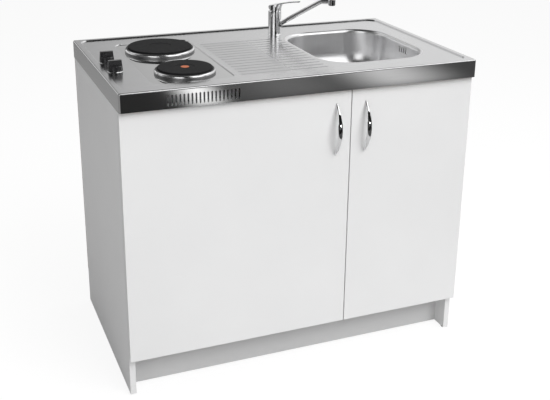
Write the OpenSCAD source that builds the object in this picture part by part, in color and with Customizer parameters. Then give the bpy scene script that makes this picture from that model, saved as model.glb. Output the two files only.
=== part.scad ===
// Kitchenette unit: a pressed steel worktop with two hotplates, a drainer, a bowl and a mixer tap,
// on a melamine cabinet with two doors.
// X runs along the front, Y to the back and Z up from the floor. Millimetres.

/* [Overall] */
// Length of the worktop along the wall
top_w = 1000; // [980:10:1200]
// Depth of the worktop from front to back
top_d = 600; // [590:10:680]
// Height of the worktop above the floor
top_h = 860; // [840:10:920]

/* [Worktop sheet] */
// Thickness of the pressed steel sheet
sheet_t = 1.2; // [1:0.1:1.6]
// Height of the apron round the worktop
apron_h = 50; // [46:1:60]
// Outer radius of the bend between top and apron
edge_r = 4; // [3:0.5:5]
// Radius of the four upright corners
corner_r = 6; // [5.5:0.5:9]
// Height of the hem folded inside the apron
hem_h = 12; // [8:1:16]
// Width of the raised rim
rim_w = 16; // [13:1:17]
// Drop from the rim to the working surface
rim_drop = 3; // [2:0.5:4]
// Width of the sloping step inside the rim
step_w = 4; // [3:0.5:6]
// Corner radius of the step inside the rim
well_r = 30; // [20:1:45]

/* [Hob] */
// Middle of the hob recess from the left end
hob_x = 211.5; // [205:0.5:215]
// Front margin of the hob recess as a share of the worktop's depth
hob_front_share = 0.103; // [0.1:0.001:0.12]
// Back margin of the hob recess as a share of the worktop's depth
hob_back_share = 0.143; // [0.14:0.001:0.18]
// Width of the hob recess
hob_w = 219; // [214:1:230]
// Corner radius of the hob recess
hob_r = 24; // [12:1:40]
// Drop from the working surface to the hob recess
hob_drop = 2; // [1:0.5:3]
// Diameter of the rear hotplate
rear_plate_d = 180; // [150:1:182]
// Diameter of the front hotplate
front_plate_d = 145; // [120:1:180]
// From the hob recess's back edge to the rear hotplate's ring
rear_plate_gap = 10; // [8:0.5:16]
// From the hob recess's front edge to the front hotplate's ring
front_plate_gap = 14.5; // [8:0.5:20]
// Height of a hotplate's top above the recess
plate_rise = 16; // [14:0.5:18]
// Depth of a hotplate's body below the recess
plate_sink = 9; // [6:0.5:12]
// Diameter of the coloured dot on the front hotplate
dot_d = 22; // [12:1:28]

/* [Vent slots] */
// Number of slots in the front apron
vent_count = 19; // [9:1:21]
// Distance from one slot to the next
vent_pitch = 10.2; // [8:0.1:11]
// Width of a slot
vent_w = 4.6; // [3:0.1:6]
// Height of a slot
vent_h = 28; // [16:1:30]
// Middle of the row of slots from the left end
vent_x = 214; // [190:1:240]
// Middle of the slots below the top of the worktop
vent_down = 29; // [27:1:31]

/* [Controls] */
// Middle of the knobs from the left end
knob_x = 43; // [43:0.5:46]
// Middle of the front knob from the front edge
front_knob_y = 223; // [190:1:240]
// Distance from the front knob to the rear knob
knob_pitch = 103; // [90:1:120]
// Diameter of a knob
knob_d = 38; // [34:1:40]
// Height of a knob without its grip
knob_h = 13; // [9:0.5:16]
// Height of the grip bar on a knob
grip_h = 14; // [6:0.5:16]
// Width of the grip bar on a knob
grip_w = 12; // [8:0.5:16]
// Diameter of the switch spindle
spindle_d = 6; // [5:0.5:7]

/* [Drainer] */
// Left end of the drainer ribs from the left end of the worktop
rib_x = 345; // [335:1:420]
// Gap between the drainer ribs and the bowl
rib_gap = 9; // [8:0.5:30]
// Number of drainer ribs
rib_count = 14; // [6:1:14]
// Distance from one rib to the next
rib_pitch = 27; // [20:0.5:27.5]
// First drainer rib from the front edge
rib_y = 83; // [80:1:115]
// Height of a drainer rib
rib_h = 0.8; // [0.6:0.1:3]
// Radius of a drainer rib's crown
rib_crown = 12; // [8:0.5:14]

/* [Bowl] */
// Middle of the bowl from the right end
bowl_in = 240.5; // [230:0.5:243]
// Middle of the bowl from the front edge
bowl_y = 288; // [270:1:290]
// Width of the bowl at its mouth
bowl_w = 313; // [300:1:320]
// Depth of the bowl's mouth from front to back
bowl_d = 376; // [350:1:380]
// Corner radius of the bowl at its mouth
bowl_r = 94; // [86:1:100]
// Height from the bowl's floor to the working surface
bowl_depth = 125; // [120:1:145]
// Lean of the bowl's walls in degrees
bowl_lean = 5; // [0:0.5:7]
// Radius between the bowl's walls and floor
bowl_fillet = 60; // [25:1:70]
// Radius of the lip round the bowl
lip_r = 10; // [4:0.5:11]
// Diameter of the waste outlet in the bowl's floor
waste_d = 60; // [50:1:70]
// Middle of the overflow slots from the front edge
overflow_y = 260; // [230:1:300]

/* [Tap] */
// Distance from the tap to the middle of the bowl
tap_in = 165.5; // [163.5:0.5:178]
// Middle of the tap from the front edge
tap_y = 486; // [485:1:510]
// Diameter of the tap's body
tap_d = 39; // [38:1:46]
// Height of the tap's body above the working surface
tap_h = 74; // [66:1:90]
// Direction of the spout, turned from the right-hand end towards the front
spout_turn = 47; // [30:1:60]
// Reach of the spout from the tap's axis
spout_reach = 185; // [170:1:220]
// Diameter of the spout
spout_d = 14; // [13:0.5:16]
// Slope of the spout in degrees
spout_slope = 31; // [24:1:34]
// Height of the spout's level end above the working surface
spout_h = 116; // [104:1:125]
// Length of the lever from the tap's axis
lever_len = 83; // [60:1:100]

/* [Cabinet] */
// Thickness of the cabinet's panels
panel_t = 16; // [15:0.5:19]
// How far the cabinet's sides stand in from the worktop's ends
side_set = 2; // [1:0.5:4]
// How far the cabinet's front edges stand behind the apron
carcass_set = 32; // [30:1:40]
// How far the cabinet's back stands in from the worktop's back
back_set = 2; // [1:0.5:4]
// Height of the space under the doors
kick_h = 115; // [90:1:150]
// How far the plinth stands behind the cabinet's front edges
kick_set = 52; // [40:1:80]
// Line between the two doors from the right end
split_in = 373; // [360:1:378]
// Thickness of the hardboard back
back_t = 3; // [2:0.5:5]
// Height of the rails
rail_h = 80; // [60:1:100]
// Thickness of the battens under the worktop
batten_t = 18; // [18:0.5:18.5]
// Height of the shelf above the floor
shelf_z = 430; // [300:1:480]
// Height of the glides under the panels
glide_h = 4; // [3:0.5:8]

/* [Doors] */
// Thickness of the doors
door_t = 16; // [16:0.5:18]
// Gap between the doors, and between doors and worktop
door_gap = 3; // [2:0.5:4]
// Gap between a closed door and the cabinet, which the buffers fill
buffer_t = 3; // [3:0.5:4]
// Distance from a door's end to the middle of its hinge
hinge_end = 100; // [70:1:150]
// Diameter of a hinge cup
cup_d = 35; // [35:1:40]
// Depth of a hinge cup in the door
cup_sink = 12.5; // [12:0.5:13]
// Distance from the door's edge to the hinge cup
cup_edge = 3; // [3:0.5:4]
// Distance of the hinge pin from the door's edge and from its face
pin_set = 7; // [7:0.25:7.5]
// Diameter of the hinge pin
pin_d = 2.5; // [2:0.5:3]

/* [Handles] */
// Length of a handle
handle_len = 148; // [130:1:180]
// How far a handle stands out from its door
handle_out = 28; // [26:1:36]
// Width of a handle at its middle
handle_w = 14; // [11:1:20]
// Thickness of a handle at its middle
handle_t = 6; // [5:0.5:8]
// Distance from a handle's middle to the line between the doors
handle_in = 43; // [35:1:60]
// Distance from a door's top to the top of its handle
handle_drop = 33; // [30:1:80]

/* [Drain] */
// Diameter of the waste pipe through the back
drain_d = 40; // [32:1:50]
// Height of the waste pipe above the floor
drain_z = 500; // [450:1:540]
// Length of the waste pipe's end, from its stop ring
drain_end = 45; // [40:1:60]
// Diameter of the trap's body
trap_d = 70; // [60:1:80]

/* [Hidden] */
$fn = 48;
arc_fn = 720;

// Clearances
fit_gap = 0.05;
seat_gap = 0.3;
wall_gap = 0.5;

// Places along Y, with the whole unit centred front to back, handles included
door_set = carcass_set - buffer_t - door_t;
front_y = -(top_d - (handle_out - door_set)) / 2;
back_y = front_y + top_d;
carcass_front = front_y + carcass_set;
carcass_back = back_y - back_set - back_t;
door_back = carcass_front - buffer_t;
door_front = door_back - door_t;

// Places along X
left_x = -top_w / 2;
left_out = left_x + side_set;
right_out = -left_out;
left_in = left_out + panel_t;
right_in = -left_in;
split = -left_x - split_in;
part_left = split - panel_t / 2;
part_right = split + panel_t / 2;

// Places along Z
carcass_top = top_h - apron_h;
well_z = top_h - rim_drop;
well_under = well_z - sheet_t;
hob_z = well_z - hob_drop;
hob_under = hob_z - sheet_t;
floor_z = well_z - bowl_depth;
bottom_top = kick_h + panel_t;
door_top = carcass_top - door_gap;

// Places of the hob, the bowl, the ribs and the tap on the worktop
ring_over = 8;
hob_front = top_d * hob_front_share;
hob_back = top_d * (1 - hob_back_share);
hob_d = hob_back - hob_front;
hob_y = (hob_front + hob_back) / 2;
rear_plate_y = hob_back - rear_plate_gap - ring_over - rear_plate_d / 2;
front_plate_y = hob_front + front_plate_gap + ring_over + front_plate_d / 2;
rear_knob_y = front_knob_y + knob_pitch;
bowl_x = top_w - bowl_in;
tap_x = bowl_x - tap_in;
rib_len = bowl_x - bowl_w / 2 - lip_r - rib_gap - rib_x;

// Battens just inside the hem
batten_out = 2 * sheet_t + 0.6;
batten_in = batten_out + batten_t;
batten_z = well_under - carcass_top;

// Hotplates and what holds them
ring_h = 11.5;
ring_t = 1;
ring_roll = 7.2;
plate_foot = 6;
ring_seat = 5.5;
hole_under = 4;
clamp_w = 20;
clamp_t = 2;
clamp_drop = 18;
stud_r = 3;
stud_tail = 8;
nut_r = 5.5;
nut_h = 5;

// Switches, spindles and bezels
switch_w = 38;
switch_h = 30;
bush_r = 4.9;
bush_hole = 5;
bush_up = 2.5;
bezel_t = 1.5;
bezel_d = knob_d + 4;
knob_z = well_z + bezel_t + wall_gap;
knob_wall = 2.5;
knob_roof = 3;
spindle_in = 12;
spindle_up = knob_h - knob_roof + 7;

// Box under the hob
box_t = 1;
box_h = 54;
box_side = 16;
box_fore = 10;
box_aft = 24;
box_wall = batten_in + wall_gap;
box_right = hob_x + hob_w / 2 + box_side;
box_front = hob_front - box_fore;
box_back = hob_back + box_aft;
box_bottom = well_under - box_h;
gland_in = 60;
gland_up = 24;
gland_x = hob_x + gland_in;
gland_z = box_bottom + gland_up;
gland_r = 8;
gland_bore = 5;
gland_len = 24;

// Bowl
mouth_r = bowl_r + lip_r;
fillet_x = bowl_r + lip_r - lip_r * cos(bowl_lean)
    - (bowl_depth - lip_r - bowl_fillet) * tan(bowl_lean) - bowl_fillet * cos(bowl_lean);
waste_lip = 6;

// Tap
tap_base_h = 8;
tap_mid_z = well_z + tap_base_h;
neck_h = 20;
dome_r = tap_d / 2 - 3.5;
cap_r = tap_d / 2;
cap_wall = 4;
dome_cut = 5;
body_top = 5.5;
pivot_z = well_z + tap_h + body_top;
bend_r = 30;
spout_wall = 1.5;
head_len = 25;

// Handles: arcs through the ends and the middle
function arc_r(half, rise) = (half * half + rise * rise) / (2 * rise);
handle_z = door_top - handle_drop - handle_len / 2;
screw_z = handle_len / 2 - 8;
screw_r = 2;
screw_bite = 4;
leaf_half = handle_len / 2 + 14;

// Hinges
cup_r = cup_d / 2;
cup_wall = 1;
cup_x = cup_edge + cup_r;
arm_w = 8;
arm_t = 1.6;
arm_y = pin_set - 1.3;
neck_x = cup_x + 5.5;
neck_r = 4;
arm_end = 62;
hinge_pin = 9.3;
hinge_plate_t = 2.5;
hinge_z = [kick_h + hinge_end, door_top - hinge_end];

// Drain
waste_z = floor_z - sheet_t;
trap_x = bowl_x;
trap_y = bowl_y;
trap_neck = 30;
trap_collar = 16;
trap_deep = 60;
trap_cap = 30;
trap_side = 20;
trap_top = drain_z + trap_neck + trap_collar;
trap_bottom = drain_z - trap_deep;
pipe_t = 2;
nut_wall = 5;

// ---------- Shared shapes ----------

// Places children at a distance from the worktop's left end and front edge
module on_top(x, y, z = 0) {
    translate([left_x + x, front_y + y, z]) children();
}

// Rectangle with four round corners, centred
module rounded(w, d, r) {
    square([w - 2 * r, d], center = true);
    square([w, d - 2 * r], center = true);
    for (x = [-1, 1], y = [-1, 1])
        translate([x * (w / 2 - r), y * (d / 2 - r)]) circle(r);
}

// Slot with round ends, upright, centred
module slot_2d(w, h) {
    square([w, h - w], center = true);
    for (s = [-1, 1]) translate([0, s * (h - w) / 2]) circle(w / 2);
}

// Part of a ring between two angles less than half a turn apart
module arc_band(inner, outer, from, to) {
    far = 2 * outer;
    mid = (from + to) / 2;
    intersection() {
        difference() {
            circle(outer);
            circle(inner);
        }
        polygon([[0, 0], far * [cos(from), sin(from)], 2 * far * [cos(mid), sin(mid)],
            far * [cos(to), sin(to)]]);
    }
}

// Sweeps a profile round a rectangle with round corners; the profile's x is measured
// outwards from the line that joins the corners' centres
module swept_ring(w, d, r) {
    for (q = [0 : 3]) {
        long = q % 2 == 0 ? w : d;
        wide = q % 2 == 0 ? d : w;
        rotate([0, 0, 90 * q]) translate([long / 2 - r, wide / 2 - r, 0]) {
            rotate([90, 0, 0]) linear_extrude(wide - 2 * r) children();
            rotate_extrude(angle = 90) children();
        }
    }
}

// Board given by its low and high corners
module board(low, high) {
    translate(low) cube(high - low);
}

// ---------- Worktop ----------

// Section of the apron, its hem and the bend at its top
module apron_section() {
    translate([corner_r - sheet_t, carcass_top]) square([sheet_t, apron_h - edge_r]);
    translate([corner_r - 2 * sheet_t, carcass_top]) square([sheet_t, hem_h]);
    translate([corner_r - edge_r, top_h - edge_r]) arc_band(edge_r - sheet_t, edge_r, 0, 90);
    translate([0, top_h - sheet_t]) square([corner_r - edge_r, sheet_t]);
}

// Section of a sloping step from one level down to the next
module step_section(outer, wide, high, drop) {
    polygon([[outer, high], [outer - wide, high - drop], [outer - wide, high - drop - sheet_t],
        [outer, high - sheet_t]]);
}

// Half of a rib's section, from its middle outwards
module rib_section(cut) {
    crown = rib_crown - cut;
    intersection() {
        translate([0, rib_h - rib_crown]) circle(crown);
        translate([0, -sheet_t]) square([2 * rib_crown, rib_h + sheet_t]);
    }
}

// Drainer rib with round ends; cut shrinks it to the hollow on its underside
module rib(cut) {
    for (m = [0, 1]) mirror([0, m, 0]) rotate([90, 0, 90]) linear_extrude(rib_len) rib_section(cut);
    rotate([0, 0, 90]) rotate_extrude(angle = 180) rib_section(cut);
    translate([rib_len, 0, 0]) rotate([0, 0, -90]) rotate_extrude(angle = 180) rib_section(cut);
}

module ribs(cut) {
    for (i = [0 : rib_count - 1]) on_top(rib_x, rib_y + i * rib_pitch, well_z) rib(cut);
}

// Levels and steps of the pressed top
module pressed_levels() {
    well_w = top_w - 2 * rim_w;
    well_d = top_d - 2 * rim_w;
    on_top(top_w / 2, top_d / 2) {
        swept_ring(top_w, top_d, corner_r) apron_section();
        translate([0, 0, top_h - sheet_t]) linear_extrude(sheet_t) difference() {
            square([top_w - 2 * corner_r, top_d - 2 * corner_r], center = true);
            rounded(well_w, well_d, well_r);
        }
        swept_ring(well_w, well_d, well_r) step_section(well_r, step_w, top_h, rim_drop);
    }
    translate([0, 0, well_under]) linear_extrude(sheet_t) difference() {
        on_top(top_w / 2, top_d / 2)
            rounded(well_w - 2 * step_w, well_d - 2 * step_w, well_r - step_w);
        on_top(hob_x, hob_y) rounded(hob_w, hob_d, hob_r);
        on_top(bowl_x, bowl_y)
            rounded(bowl_w + 2 * lip_r, bowl_d + 2 * lip_r, mouth_r);
    }
    on_top(hob_x, hob_y) {
        swept_ring(hob_w, hob_d, hob_r) step_section(hob_r, hob_drop, well_z, hob_drop);
        translate([0, 0, hob_under]) linear_extrude(sheet_t)
            rounded(hob_w - 2 * hob_drop, hob_d - 2 * hob_drop, hob_r - hob_drop);
    }
}

module worktop() {
    color("silver") difference() {
        union() {
            pressed_levels();
            ribs(0);
        }
        ribs(sheet_t);
        on_top(hob_x, rear_plate_y, hob_under - 1) cylinder(r = rear_plate_d / 2 - hole_under, h = 4);
        on_top(hob_x, front_plate_y, hob_under - 1) cylinder(r = front_plate_d / 2 - hole_under, h = 4);
        for (y = [front_knob_y, rear_knob_y])
            on_top(knob_x, y, well_under - 1) cylinder(r = bush_hole, h = 4);
        on_top(tap_x, tap_y, well_under - 1) cylinder(r = tap_hole_r, h = 4);
        for (i = [0 : vent_count - 1])
            on_top(vent_x + (i - (vent_count - 1) / 2) * vent_pitch, 2 * sheet_t + 1, top_h - vent_down)
                rotate([90, 0, 0]) linear_extrude(2 * sheet_t + 2) slot_2d(vent_w, vent_h);
    }
}
tap_hole_r = 17.5;

// Section of the bowl: lip, leaning wall and fillet down to the floor
module bowl_section() {
    slant = [cos(bowl_lean), -sin(bowl_lean)];
    lip = [mouth_r, well_z - lip_r];
    heel = [fillet_x, floor_z + bowl_fillet];
    high = lip - lip_r * slant;
    low = heel + bowl_fillet * slant;
    translate(lip) arc_band(lip_r - sheet_t, lip_r, 90, 180 - bowl_lean);
    translate(heel) arc_band(bowl_fillet, bowl_fillet + sheet_t, -90, -bowl_lean);
    polygon([high, low, low + sheet_t * slant, high + sheet_t * slant]);
}

module sink_bowl() {
    out_w = bowl_w + 2 * lip_r;
    out_d = bowl_d + 2 * lip_r;
    floor_in = mouth_r - fillet_x;
    slot_pitch = 12;
    color("gainsboro") difference() {
        on_top(bowl_x, bowl_y) {
            swept_ring(out_w, out_d, mouth_r) bowl_section();
            translate([0, 0, waste_z]) linear_extrude(sheet_t)
                rounded(out_w - 2 * floor_in, out_d - 2 * floor_in, fillet_x);
        }
        on_top(bowl_x, bowl_y, waste_z - 1) cylinder(d = waste_d, h = sheet_t + 2);
        for (i = [-1.5 : 1 : 1.5])
            on_top(bowl_x + bowl_w / 2 - 20, overflow_y + i * slot_pitch, overflow_z)
                rotate([90, 0, 90]) linear_extrude(30) slot_2d(5, 18);
    }
}
overflow_z = well_z - 23;

module worktop_battens() {
    vent_half = vent_count * vent_pitch / 2 + 6;
    color("burlywood") translate([0, 0, carcass_top]) linear_extrude(batten_z) {
        on_top(corner_r, batten_out) square([vent_x - vent_half - corner_r, batten_t]);
        on_top(vent_x + vent_half, batten_out)
            square([top_w - corner_r - vent_x - vent_half, batten_t]);
        on_top(corner_r, top_d - batten_in) square([top_w - 2 * corner_r, batten_t]);
        for (x = [batten_out, top_w - batten_in])
            on_top(x, batten_in) square([batten_t, top_d - 2 * batten_in]);
    }
}

// ---------- Hob ----------

module hotplate(d) {
    r = d / 2;
    dish_r = 0.17 * d;
    rotate_extrude() polygon([[0, -plate_sink], [r - plate_foot, -plate_sink],
        [r - plate_foot, ring_h], [r, ring_h], [r, plate_rise - 1.5], [r - 1.5, plate_rise],
        [dish_r + 1, plate_rise], [dish_r, plate_rise - 0.8], [0, plate_rise - 0.8]]);
    translate([0, 0, -clamp_drop - clamp_t - stud_tail])
        cylinder(r = stud_r, h = clamp_drop + clamp_t + stud_tail - plate_sink);
}

module plate_ring(d) {
    r = d / 2;
    rotate_extrude() {
        translate([r - ring_seat, ring_h - ring_t])
            square([ring_seat + ring_over - ring_roll, ring_t]);
        translate([r + ring_over - ring_roll, ring_h - ring_roll])
            arc_band(ring_roll - ring_t, ring_roll, 0, 90);
        translate([r + ring_over - ring_t, 0]) square([ring_t, ring_h - ring_roll]);
    }
}

// Bar that pulls a hotplate down onto the sheet, with its nut below
module plate_clamp(d) {
    half = d / 2 + 3;
    difference() {
        union() {
            translate([-half, -clamp_w / 2, -clamp_drop - clamp_t]) cube([2 * half, clamp_w, clamp_t]);
            for (m = [0, 1]) mirror([m, 0, 0])
                translate([half - clamp_t, -clamp_w / 2, -clamp_drop])
                    cube([clamp_t, clamp_w, clamp_drop - sheet_t]);
        }
        translate([0, 0, -clamp_drop - clamp_t - 1]) cylinder(r = stud_r + 0.3, h = clamp_t + 2);
    }
    translate([0, 0, -clamp_drop - clamp_t - nut_h]) difference() {
        cylinder(r = nut_r, h = nut_h, $fn = 6);
        translate([0, 0, -1]) cylinder(r = stud_r + fit_gap, h = nut_h + 2);
    }
}

module large_hotplate() { color("#2b2b2b") on_top(hob_x, rear_plate_y, hob_z) hotplate(rear_plate_d); }
module small_hotplate() { color("#303030") on_top(hob_x, front_plate_y, hob_z) hotplate(front_plate_d); }
module large_plate_ring() { color("lightgray") on_top(hob_x, rear_plate_y, hob_z) plate_ring(rear_plate_d); }
module small_plate_ring() { color("lightgray") on_top(hob_x, front_plate_y, hob_z) plate_ring(front_plate_d); }

module plate_clamps() {
    color("gray") {
        on_top(hob_x, rear_plate_y, hob_z) plate_clamp(rear_plate_d);
        on_top(hob_x, front_plate_y, hob_z) plate_clamp(front_plate_d);
    }
}

module red_dot() {
    color("orangered") on_top(hob_x, front_plate_y, hob_z + plate_rise - 0.8) cylinder(d = dot_d, h = 0.4);
}

module hob_cover_box() {
    color("darkgray") difference() {
        on_top(box_wall, box_front, box_bottom)
            cube([box_right - box_wall, box_back - box_front, well_under - box_bottom]);
        on_top(box_wall + box_t, box_front + box_t, box_bottom + box_t)
            cube([box_right - box_wall - 2 * box_t, box_back - box_front - 2 * box_t, box_h]);
        on_top(gland_x, box_back + 1, gland_z) rotate([90, 0, 0]) cylinder(r = gland_r, h = box_t + 2);
    }
}

module terminal_block() {
    ways = 5;
    color("ivory") on_top(gland_x, box_back - 44, box_bottom + box_t) difference() {
        translate([-32, -10, 0]) cube([64, 20, 18]);
        for (i = [0 : ways - 1], s = [-1, 1])
            translate([-24 + 12 * i, s * 5, 10]) cylinder(r = 3, h = 9);
    }
}

module cable_gland() {
    color("dimgray") on_top(gland_x, box_back, gland_z) rotate([-90, 0, 0]) difference() {
        union() {
            translate([0, 0, -8]) cylinder(r = gland_r - fit_gap, h = gland_len - 4);
            cylinder(r = gland_r + 3, h = 5, $fn = 6);
            translate([0, 0, 5]) cylinder(r = gland_r + 2, h = gland_len - 13);
            translate([0, 0, -box_t - 4]) cylinder(r = gland_r + 3, h = 4, $fn = 6);
        }
        translate([0, 0, -9]) cylinder(r = gland_bore, h = gland_len + 2);
    }
}

// ---------- Controls ----------

module rotary_switch() {
    difference() {
        union() {
            translate([-switch_w / 2, -switch_w / 2, -switch_h]) cube([switch_w, switch_w, switch_h]);
            cylinder(r = bush_r, h = sheet_t + bush_up);
        }
        translate([0, 0, -spindle_in]) cylinder(d = spindle_d + 2 * fit_gap, h = 40);
    }
    for (s = [-1, 1], i = [-1 : 1])
        translate([s * 12 - 3, 10 * i - 0.4, -switch_h - 8]) cube([6, 0.8, 8]);
}

// Shaft with a flat on its upper end
module spindle() {
    difference() {
        translate([0, 0, well_under - spindle_in + wall_gap])
            cylinder(d = spindle_d, h = knob_z + spindle_up - well_under + spindle_in - wall_gap);
        translate([-spindle_d, spindle_d / 2 - 1.2, knob_z + 2])
            cube([2 * spindle_d, spindle_d, spindle_up]);
    }
}

// Turned skirt with a bar grip, hollow below and bored for the spindle
module knob() {
    r = knob_d / 2;
    difference() {
        union() {
            rotate_extrude() polygon([[0, 0], [r, 0], [r, 2.5], [r - 1.2, knob_h - 1],
                [r - 2.2, knob_h], [0, knob_h]]);
            intersection() {
                cylinder(r1 = r + 1, r2 = r - 1.6, h = knob_h + grip_h);
                union() {
                    translate([-r, -grip_w / 2, 0]) cube([knob_d, grip_w, knob_h + grip_h - 1.5]);
                    translate([-r, 1 - grip_w / 2, 0]) cube([knob_d, grip_w - 2, knob_h + grip_h]);
                }
            }
        }
        difference() {
            translate([0, 0, -1]) cylinder(r = r - knob_wall - 1.2, h = knob_h - knob_roof + 1);
            cylinder(d = spindle_d + 6, h = knob_h);
        }
        difference() {
            translate([0, 0, -1]) cylinder(d = spindle_d + 2 * fit_gap, h = spindle_up + 1 + fit_gap);
            translate([-spindle_d, spindle_d / 2 - 1.2 + fit_gap, 2]) cube([2 * spindle_d, spindle_d, 40]);
        }
        translate([0, 0, -1]) cylinder(r = bush_r + wall_gap, h = 1 + bush_up - bezel_t);
    }
}

module rear_switch() { color("whitesmoke") on_top(knob_x, rear_knob_y, well_under) rotary_switch(); }
module front_switch() { color("whitesmoke") on_top(knob_x, front_knob_y, well_under) rotary_switch(); }
module rear_spindle() { color("gold") on_top(knob_x, rear_knob_y) spindle(); }
module front_spindle() { color("gold") on_top(knob_x, front_knob_y) spindle(); }
module rear_knob() { color("#1a1a1a") on_top(knob_x, rear_knob_y, knob_z) knob(); }
module front_knob() { color("#1a1a1a") on_top(knob_x, front_knob_y, knob_z) knob(); }

module knob_bezels() {
    color("white") for (y = [front_knob_y, rear_knob_y]) on_top(knob_x, y, well_z)
        rotate_extrude() polygon([[bush_hole, 0], [bezel_d / 2, 0], [bezel_d / 2 - 1, bezel_t],
            [bush_hole, bezel_t]]);
}

// ---------- Cabinet ----------

shelf_front = carcass_front + 40;
shelf_back = carcass_back - wall_gap;
pin_hole_r = 2.5;
pin_reach = 8;
shelf_pin_y = [shelf_front + 50, shelf_back - 50];

// Round holes for the shelf pins in the face of a panel
module shelf_holes(x, way) {
    for (y = shelf_pin_y)
        translate([x, y, shelf_z - pin_hole_r]) rotate([0, way * 90, 0])
            translate([0, 0, -pin_reach]) cylinder(r = pin_hole_r, h = pin_reach + 1);
}

module left_side_panel() {
    color("white") difference() {
        board([left_out, carcass_front, glide_h], [left_in, carcass_back, carcass_top]);
        shelf_holes(left_in, 1);
    }
}

module right_side_panel() {
    color("white") board([right_in, carcass_front, glide_h], [right_out, carcass_back, carcass_top]);
}

// Upright between the two bays, notched round the bowl
module partition_panel() {
    notch = 8;
    notch_front = front_y + bowl_y - bowl_d / 2 - lip_r - notch;
    notch_back = front_y + bowl_y + bowl_d / 2 + lip_r + notch;
    color("white") difference() {
        board([part_left, carcass_front, bottom_top], [part_right, carcass_back, carcass_top]);
        board([part_left - 1, notch_front, waste_z - notch], [part_right + 1, notch_back, carcass_top + 1]);
        shelf_holes(part_left, -1);
    }
}

module bottom_panel() {
    color("white") board([left_in, carcass_front, kick_h], [right_in, carcass_back, bottom_top]);
}

module back_panel() {
    color("tan") difference() {
        board([left_out, carcass_back, kick_h], [part_right, carcass_back + back_t, carcass_top]);
        board([part_left - 100, carcass_back - 1, drain_z - 60],
            [part_left - 10, carcass_back + back_t + 1, drain_z + 60]);
    }
}

module plinth_board() {
    color("white") board([left_in, carcass_front + kick_set, glide_h],
        [right_in, carcass_front + kick_set + panel_t, kick_h]);
}

module front_rails() {
    low = carcass_top - rail_h;
    color("white") {
        board([left_in, carcass_front, low], [part_left, carcass_front + panel_t, carcass_top]);
        board([part_right, carcass_front, low], [right_in, carcass_front + panel_t, carcass_top]);
    }
}

module rear_rails() {
    low = carcass_top - rail_h;
    near = carcass_back - panel_t;
    color("white") {
        board([left_in, near, low], [part_left, carcass_back, carcass_top]);
        board([part_right, near, low], [right_in, carcass_back, carcass_top]);
        board([part_right, near, bottom_top], [right_in, carcass_back, bottom_top + rail_h]);
    }
}

module shelf() {
    color("white") board([left_in + wall_gap, shelf_front, shelf_z],
        [part_left - wall_gap, shelf_back, shelf_z + panel_t]);
}

module shelf_pins() {
    color("lightgray") for (y = shelf_pin_y, s = [[left_in, 1], [part_left, -1]])
        translate([s[0], y, shelf_z - pin_hole_r]) rotate([0, s[1] * 90, 0])
            translate([0, 0, wall_gap - pin_reach]) cylinder(r = pin_hole_r, h = 2 * pin_reach);
}

module panel_glides() {
    edge = 14;
    color("black") for (x = [left_out + panel_t / 2, right_out - panel_t / 2],
            y = [carcass_front + edge, carcass_back - edge])
        translate([x, y, 0]) cylinder(d1 = panel_t - 3, d2 = panel_t - 1, h = glide_h);
}

// ---------- Doors ----------

// The left door and its fittings are drawn; the right ones are mirrored to their own side
module hand(side) {
    if (side < 0) children();
    else mirror([1, 0, 0]) children();
}

module door(outer, inner) {
    difference() {
        board([outer, door_front, kick_h], [inner, door_back, door_top]);
        for (z = hinge_z) translate([outer + cup_x, door_back + 1, z]) rotate([90, 0, 0])
            cylinder(d = cup_d, h = cup_sink + 1);
        for (s = [-1, 1]) translate([inner + door_gap / 2 - handle_in, door_back + 1, handle_z + s * screw_z])
            rotate([90, 0, 0]) cylinder(r = screw_r + fit_gap, h = door_t + 2);
    }
}

// Steel cup pressed into the door, its flange and the pin across it
module hinge_cup(outer) {
    for (z = hinge_z) translate([outer, door_back, z]) {
        difference() {
            union() {
                translate([cup_x, 0, 0]) rotate([90, 0, 0]) cylinder(d = cup_d, h = cup_sink);
                translate([cup_x, 1, 0]) rotate([90, 0, 0]) linear_extrude(1) {
                    circle(cup_r);
                    translate([5, 0]) slot_2d(14, 66);
                }
            }
            translate([cup_x, 2, 0]) rotate([90, 0, 0])
                cylinder(r = cup_r - cup_wall, h = cup_sink + 2 - cup_wall);
            for (s = [-1, 1]) translate([cup_x + 5, 2, s * 26]) rotate([90, 0, 0]) cylinder(r = 2.2, h = 3);
        }
        translate([pin_set, pin_set - door_t, -hinge_pin]) cylinder(d = pin_d, h = 2 * hinge_pin);
    }
}

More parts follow.
